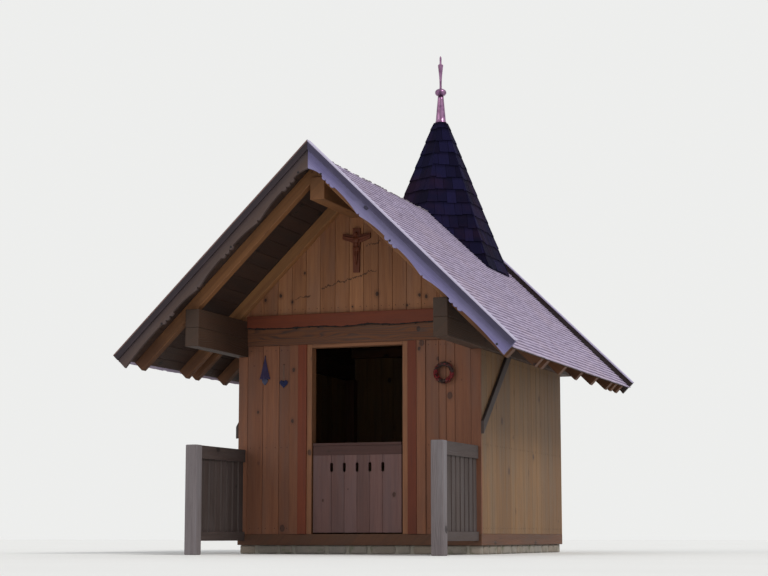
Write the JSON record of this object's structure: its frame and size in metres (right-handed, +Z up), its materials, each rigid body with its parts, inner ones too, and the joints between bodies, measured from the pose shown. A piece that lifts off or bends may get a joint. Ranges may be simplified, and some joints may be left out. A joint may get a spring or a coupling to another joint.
{
  "type": "small chapel",
  "caption": "Small timber wayside chapel: steep shingled gable roof with deep porch overhang, scalloped bargeboards, a six-sided spire, open doorway with a lower half-door",
  "frame": {"origin": "on the ground, in the middle of the roof's plan", "axes": "+Z up, the front gable with the doorway faces -Y, the ridge runs along Y, +X is the right side seen from the front"},
  "size_m": [3.6928, 4.39, 5.2023],
  "materials": {
    "stone": "rough mortared field stone",
    "floor_wood": "worn floor boards",
    "frame_wood": "brown oiled squared timber",
    "red_wood": "reddish brown oiled timber",
    "tan_wood": "tan oiled boards with knots",
    "wall_wood": "tan upright boards",
    "gable_wood": "golden tan upright boards with knots",
    "side_wood": "weathered golden brown boards",
    "rafter_wood": "planed tan rafters",
    "soffit_wood": "dark brown roof boards",
    "shingles": "weathered silver-lilac split shingles",
    "grey_wood": "weathered blue-grey board",
    "dark_wood": "dark weathered board",
    "pale_wood": "pale weathered edge board",
    "dark_shingles": "blue-black tarred shingles",
    "copper": "aged pinkish copper",
    "carved_wood": "dark red-brown carved wood",
    "berries": "dried red berries",
    "blue_paint": "blue-grey painted",
    "gate_wood": "greyed tan boards",
    "iron": "dark forged iron"
  },
  "bodies": {
    "chapel": {"corner_boards": "wall_wood", "corner_posts": "frame_wood", "crucifix": "carved_wood", "door_head": "tan_wood", "door_lining": "tan_wood", "door_posts": "red_wood", "door_side_boards": "wall_wood", "eave_blocking": "frame_wood", "eave_purlins": "frame_wood", "finial_ball": "copper", "finial_cone": "copper", "finial_spike": "copper", "floor": "floor_wood", "foundation": "stone", "front_bargeboard_left": "grey_wood", "front_bargeboard_right": "grey_wood", "front_gable": "gable_wood", "front_wall_left": "wall_wood", "front_wall_right": "wall_wood", "gate_pintles": "iron", "hanging_drop": "blue_paint", "hanging_heart": "blue_paint", "header_beam": "red_wood", "header_board": "tan_wood", "king_posts": "frame_wood", "left_wall": "side_wood", "parapet_posts": "grey_wood", "parapet_rails": "dark_wood", "parapet_slats": "dark_wood", "rafters_left": "rafter_wood", "rafters_right": "rafter_wood", "rear_bargeboard_left": "dark_wood", "rear_bargeboard_right": "dark_wood", "rear_tie_beam": "frame_wood", "rear_wall": "side_wood", "ridge_purlin": "frame_wood", "right_wall": "side_wood", "roof_boards_left": "soffit_wood", "roof_boards_right": "soffit_wood", "shingles_left": "shingles", "shingles_right": "shingles", "side_braces": "dark_wood", "sill_beams": "frame_wood", "spire": "dark_shingles", "verge_caps": "pale_wood", "verge_strips": "grey_wood", "wall_plates": "frame_wood", "wall_rails": "frame_wood", "wreath": "berries"},
    "gate": {"gate_boards": "gate_wood", "gate_top_rail": "gate_wood", "gate_frame": "gate_wood", "gate_straps": "iron"}
  },
  "joints": [
    {"name": "gate_hinge", "type": "hinge", "parent": "chapel", "child": "gate", "pos_m": [-0.426, -0.937, 0.6], "axis": [0, 0, 1], "range_deg": [0, 95]}
  ]
}
